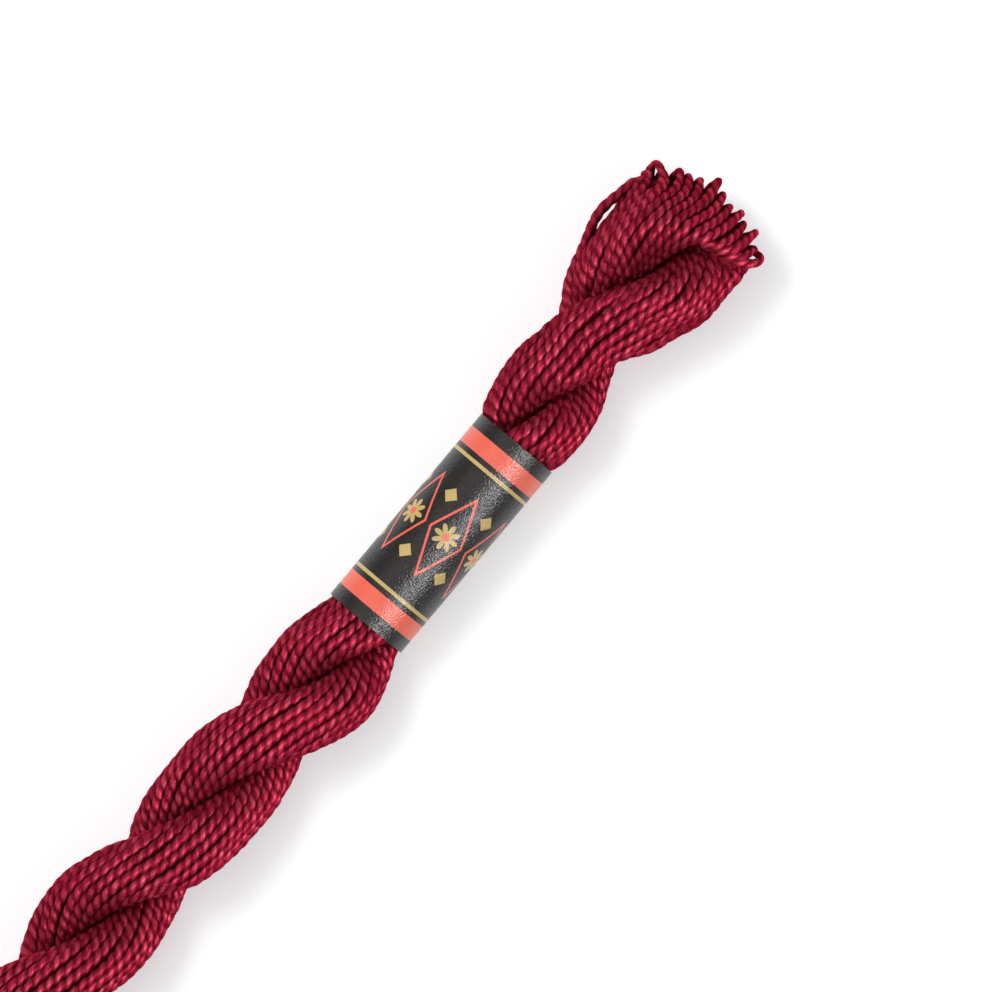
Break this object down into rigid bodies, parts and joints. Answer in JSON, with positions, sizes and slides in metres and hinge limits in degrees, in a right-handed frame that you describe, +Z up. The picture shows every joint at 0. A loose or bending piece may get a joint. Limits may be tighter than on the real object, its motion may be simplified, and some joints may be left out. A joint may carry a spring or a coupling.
{
  "type": "skein of pearl cotton thread with a paper band",
  "caption": "Twisted skein of thick two-ply pearl cotton: a long loop of thread wound on itself, open bights at its ends, held by one paper band.",
  "frame": {"origin": "middle of the skein's length and width, on the surface it lies on", "axes": "+X along the skein towards the fanned end near the band, +Z up from the surface, +Y across the skein"},
  "size_m": [0.167, 0.0129, 0.011],
  "materials": {
    "pearl_cotton": "mercerised two-ply thread, silky",
    "band_paper": "glossy coated paper with coral stripes and gold ornament"
  },
  "bodies": {
    "root": {"skein": "pearl_cotton", "band": "band_paper"}
  },
  "joints": []
}
